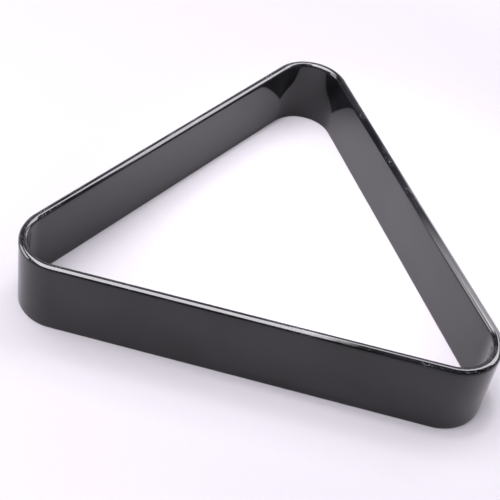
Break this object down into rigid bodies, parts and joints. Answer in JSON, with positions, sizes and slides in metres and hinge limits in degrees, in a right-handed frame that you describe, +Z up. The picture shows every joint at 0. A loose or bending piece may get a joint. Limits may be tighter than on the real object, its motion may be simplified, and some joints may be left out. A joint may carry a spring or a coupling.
{
  "type": "triangle ball rack",
  "caption": "Open triangular ball rack: a single moulded plastic wall with rounded corners and a rounded rim that gathers pool balls into a tight triangle.",
  "frame": {"origin": "middle of the rack's bounding box, on the surface that the rack stands on", "axes": "+X along the front side, +Y towards the apex corner, +Z up through the opening towards the rounded rim"},
  "size_m": [0.306, 0.2732, 0.054],
  "materials": {
    "rack_plastic": "black, glossy as moulded"
  },
  "bodies": {
    "root": {"rack_frame": "rack_plastic"}
  },
  "joints": []
}
